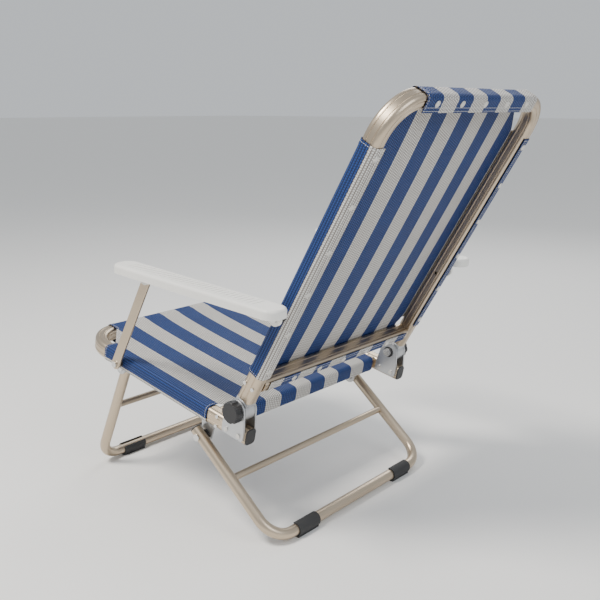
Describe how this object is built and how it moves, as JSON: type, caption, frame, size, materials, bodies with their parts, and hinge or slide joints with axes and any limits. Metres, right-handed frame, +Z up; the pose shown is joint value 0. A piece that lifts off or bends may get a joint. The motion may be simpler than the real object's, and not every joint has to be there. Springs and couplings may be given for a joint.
{
  "type": "folding beach armchair",
  "caption": "Folding beach armchair: bent rectangular aluminium tube frames with a wrapped striped mesh sling, resin armrests on swinging struts and two folding tube legs.",
  "frame": {"origin": "floor, middle of the chair's outline seen from above", "axes": "+Z up, the chair faces -Y, the sitter's left is +X"},
  "size_m": [0.656, 0.8306, 0.8236],
  "materials": {
    "tube": "champagne anodised extrusion with fine lengthwise ribs",
    "leg_tube": "champagne anodised round tube",
    "strut": "champagne anodised flat bar",
    "bracket": "zinc plated pressed steel",
    "sling": "woven PVC-coated mesh in blue and white lengthwise stripes",
    "moulded_arm": "white moulded resin, lightly grained",
    "plastic": "black moulded nylon",
    "foot": "black soft PVC",
    "rivet": "plain aluminium rivet",
    "fastener": "bright zinc plated steel"
  },
  "bodies": {
    "seat_body": {"seat_frame": "tube", "seat_bar": "tube", "seat_sling": "sling", "seat_rivets": "rivet", "seat_bar_screws": "fastener", "bracket_rivets": "rivet", "front_leg_pins": "fastener", "front_leg_washers": "plastic", "rear_leg_pins": "fastener", "rear_leg_washers": "plastic", "hinge_cheeks_left": "bracket", "hinge_cheeks_right": "bracket", "hinge_bolt_left": "fastener", "hinge_bolt_right": "fastener", "hinge_knob_left": "plastic", "hinge_knob_right": "plastic", "hinge_washers_left": "plastic", "hinge_washers_right": "plastic", "front_leg_plate_left": "bracket", "front_leg_plate_right": "bracket", "rear_leg_plate_left": "bracket", "rear_leg_plate_right": "bracket", "strut_bolt_left": "fastener", "strut_bolt_right": "fastener", "strut_spacer_left": "plastic", "strut_spacer_right": "plastic", "seat_end_plug_left": "plastic", "seat_end_plug_right": "plastic"},
    "back_body": {"back_frame": "tube", "back_bar": "tube", "back_sling": "sling", "back_rivets": "rivet", "back_bar_screws": "fastener", "hinge_knuckle_left": "bracket", "hinge_knuckle_right": "bracket", "arm_rear_bolt_left": "fastener", "arm_rear_bolt_right": "fastener", "arm_spacer_left": "plastic", "arm_spacer_right": "plastic"},
    "front_leg_body": {"front_leg": "leg_tube", "front_leg_stay": "leg_tube", "front_leg_cap_left": "plastic", "front_leg_cap_right": "plastic", "front_foot_sleeve_left": "foot", "front_foot_sleeve_right": "foot"},
    "rear_leg_body": {"rear_leg": "leg_tube", "rear_leg_stay": "leg_tube", "rear_leg_cap_left": "plastic", "rear_leg_cap_right": "plastic", "rear_foot_sleeve_left": "foot", "rear_foot_sleeve_right": "foot"},
    "armrest_body_left": {"armrest_left": "moulded_arm"},
    "strut_body_left": {"strut_left": "strut", "arm_front_bolt_left": "fastener"},
    "armrest_body_right": {"armrest_right": "moulded_arm"},
    "strut_body_right": {"strut_right": "strut", "arm_front_bolt_right": "fastener"}
  },
  "joints": [
    {"name": "back_fold", "type": "hinge", "parent": "seat_body", "child": "back_body", "pos_m": [0, 0.0779, 0.2541], "axis": [1, 0, 0], "range_deg": [-25, 106]},
    {"name": "front_leg_fold", "type": "hinge", "parent": "seat_body", "child": "front_leg_body", "pos_m": [0, -0.29004, 0.25461], "axis": [1, 0, 0], "range_deg": [0, 103]},
    {"name": "rear_leg_fold", "type": "hinge", "parent": "seat_body", "child": "rear_leg_body", "pos_m": [0, -0.03134, 0.17304], "axis": [-1, 0, 0], "range_deg": [0, 152]},
    {"name": "strut_swing_left", "type": "hinge", "parent": "seat_body", "child": "strut_body_left", "pos_m": [0, -0.25404, 0.27967], "axis": [1, 0, 0], "range_deg": [-25, 106]},
    {"name": "armrest_swing_left", "type": "hinge", "parent": "back_body", "child": "armrest_body_left", "pos_m": [0, 0.1904, 0.44896], "axis": [1, 0, 0], "range_deg": [-106, 25]},
    {"name": "strut_swing_right", "type": "hinge", "parent": "seat_body", "child": "strut_body_right", "pos_m": [0, -0.25404, 0.27967], "axis": [1, 0, 0], "range_deg": [-25, 106]},
    {"name": "armrest_swing_right", "type": "hinge", "parent": "back_body", "child": "armrest_body_right", "pos_m": [0, 0.1904, 0.44896], "axis": [1, 0, 0], "range_deg": [-106, 25]}
  ],
  "couplings": [
    {"joint": "strut_swing_left", "follows": "back_fold", "ratio": 1},
    {"joint": "armrest_swing_left", "follows": "back_fold", "ratio": -1},
    {"joint": "strut_swing_right", "follows": "back_fold", "ratio": 1},
    {"joint": "armrest_swing_right", "follows": "back_fold", "ratio": -1}
  ]
}
